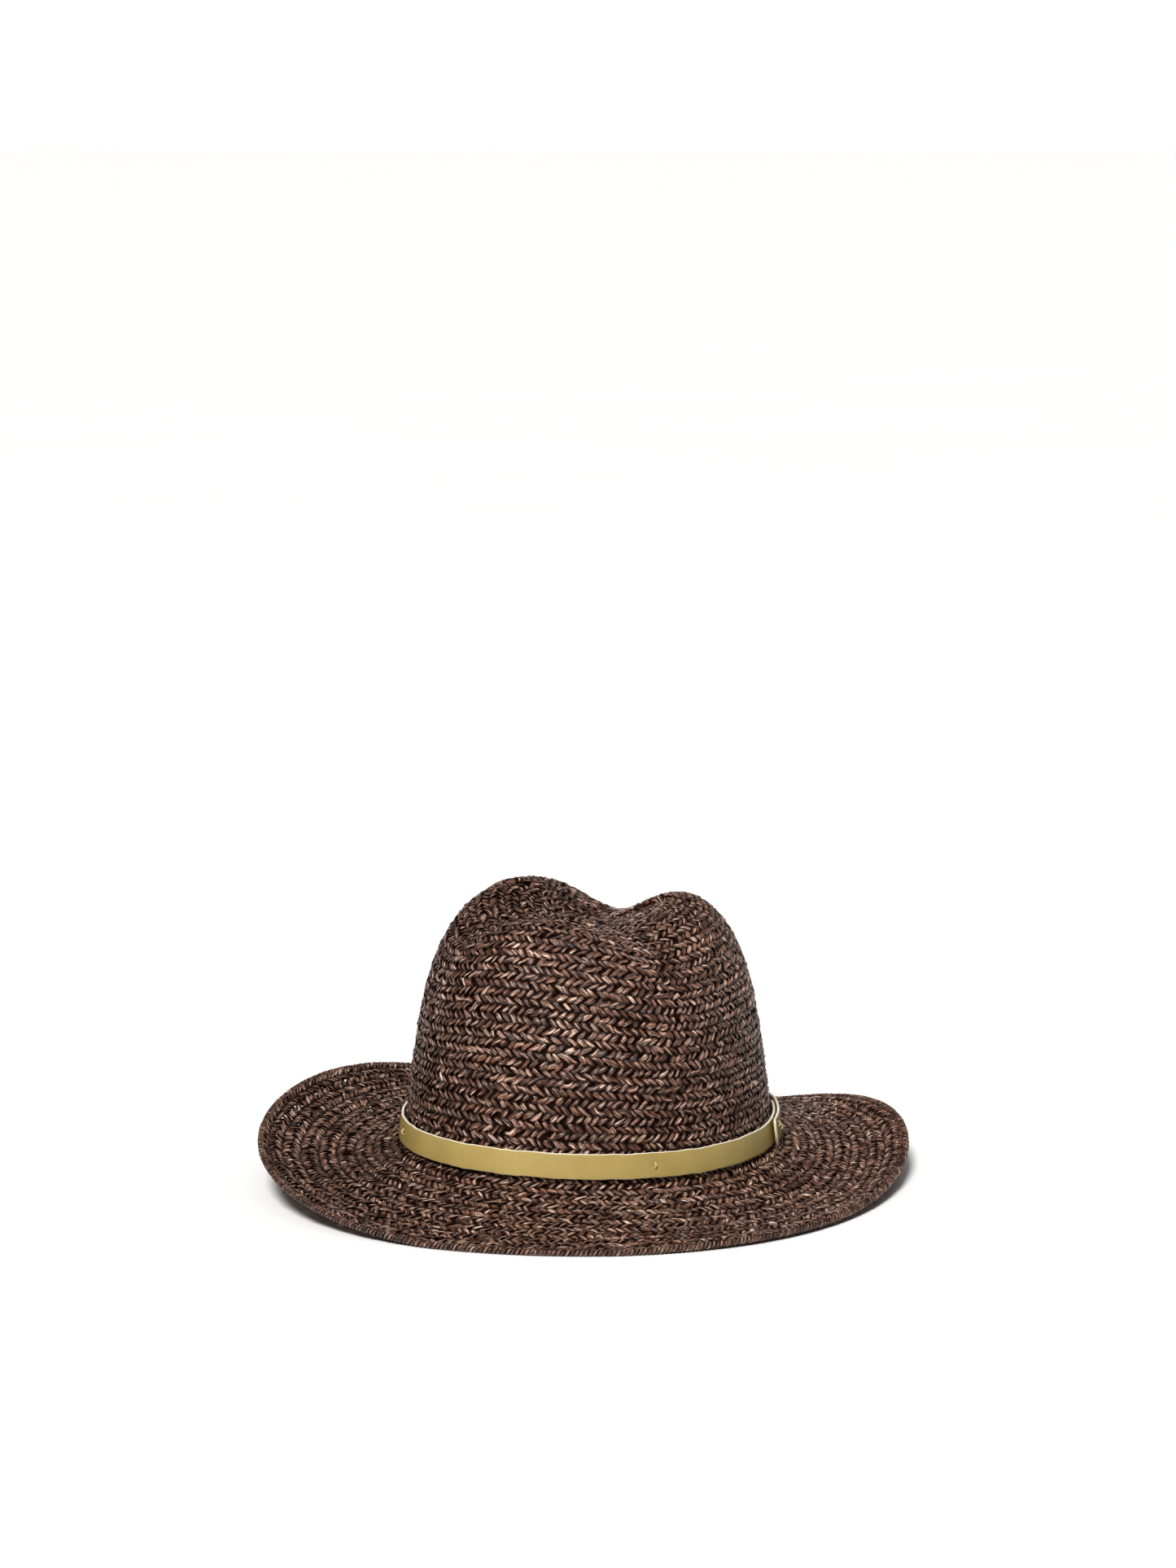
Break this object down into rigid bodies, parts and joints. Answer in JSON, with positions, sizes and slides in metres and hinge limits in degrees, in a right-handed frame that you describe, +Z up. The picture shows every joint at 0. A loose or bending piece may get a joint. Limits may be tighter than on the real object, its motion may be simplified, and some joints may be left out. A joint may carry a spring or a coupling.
{
  "type": "sewn-braid straw fedora",
  "caption": "Soft-brimmed fedora of sewn straw braid with a creased crown, a turned-up brim, an inside sweatband and a narrow leather hatband.",
  "frame": {"origin": "centre of the footprint, on the surface that the brim rests on", "axes": "+Z up, -Y towards the front of the hat, +X towards the wearer's left"},
  "size_m": [0.2898, 0.322, 0.1338],
  "materials": {
    "straw": "dark brown plaited raffia braid, satin",
    "straw_cord": "twisted raffia cord, satin",
    "brim_wire": "drawn steel wire",
    "sweatband": "ribbed woven band, matt",
    "thread": "brown sewing thread",
    "tape": "woven tape, matt",
    "label": "plain woven label",
    "tab": "plain woven tab",
    "leather": "mustard gold leather, soft sheen, pale raw edge",
    "tack_thread": "waxed thread"
  },
  "bodies": {
    "hat": {"crown_tip": "straw", "crown_side_upper": "straw", "crown_side_lower": "straw", "brim_inner": "straw", "brim_outer": "straw", "brim_edge_cord": "straw_cord", "brim_wire": "brim_wire", "sweatband": "sweatband", "sweatband_reed": "sweatband", "sweatband_thread": "thread", "sweatband_seam_tape": "tape", "blank_label": "label", "hatband_strap": "leather", "tack_front_left": "tack_thread", "tack_right": "tack_thread", "tack_back": "tack_thread", "lap_tack_upper": "tack_thread", "lap_tack_lower": "tack_thread"},
    "strap_end": {"strap_end": "leather"},
    "size_tab": {"size_tab": "tab"}
  },
  "joints": [
    {"name": "strap_end_lift", "type": "hinge", "parent": "hat", "child": "strap_end", "pos_m": [0.08688, 0.01112, 0.02328], "axis": [-0.1075, -0.0311, 0.9937], "range_deg": [0, 30], "stiffness_Nm_per_rad": 0.004},
    {"name": "size_tab_flip", "type": "hinge", "parent": "hat", "child": "size_tab", "pos_m": [0.02432, 0.08987, 0.04649], "axis": [-0.9264, 0.3764, 0], "range_deg": [0, 100], "stiffness_Nm_per_rad": 0.0005}
  ]
}
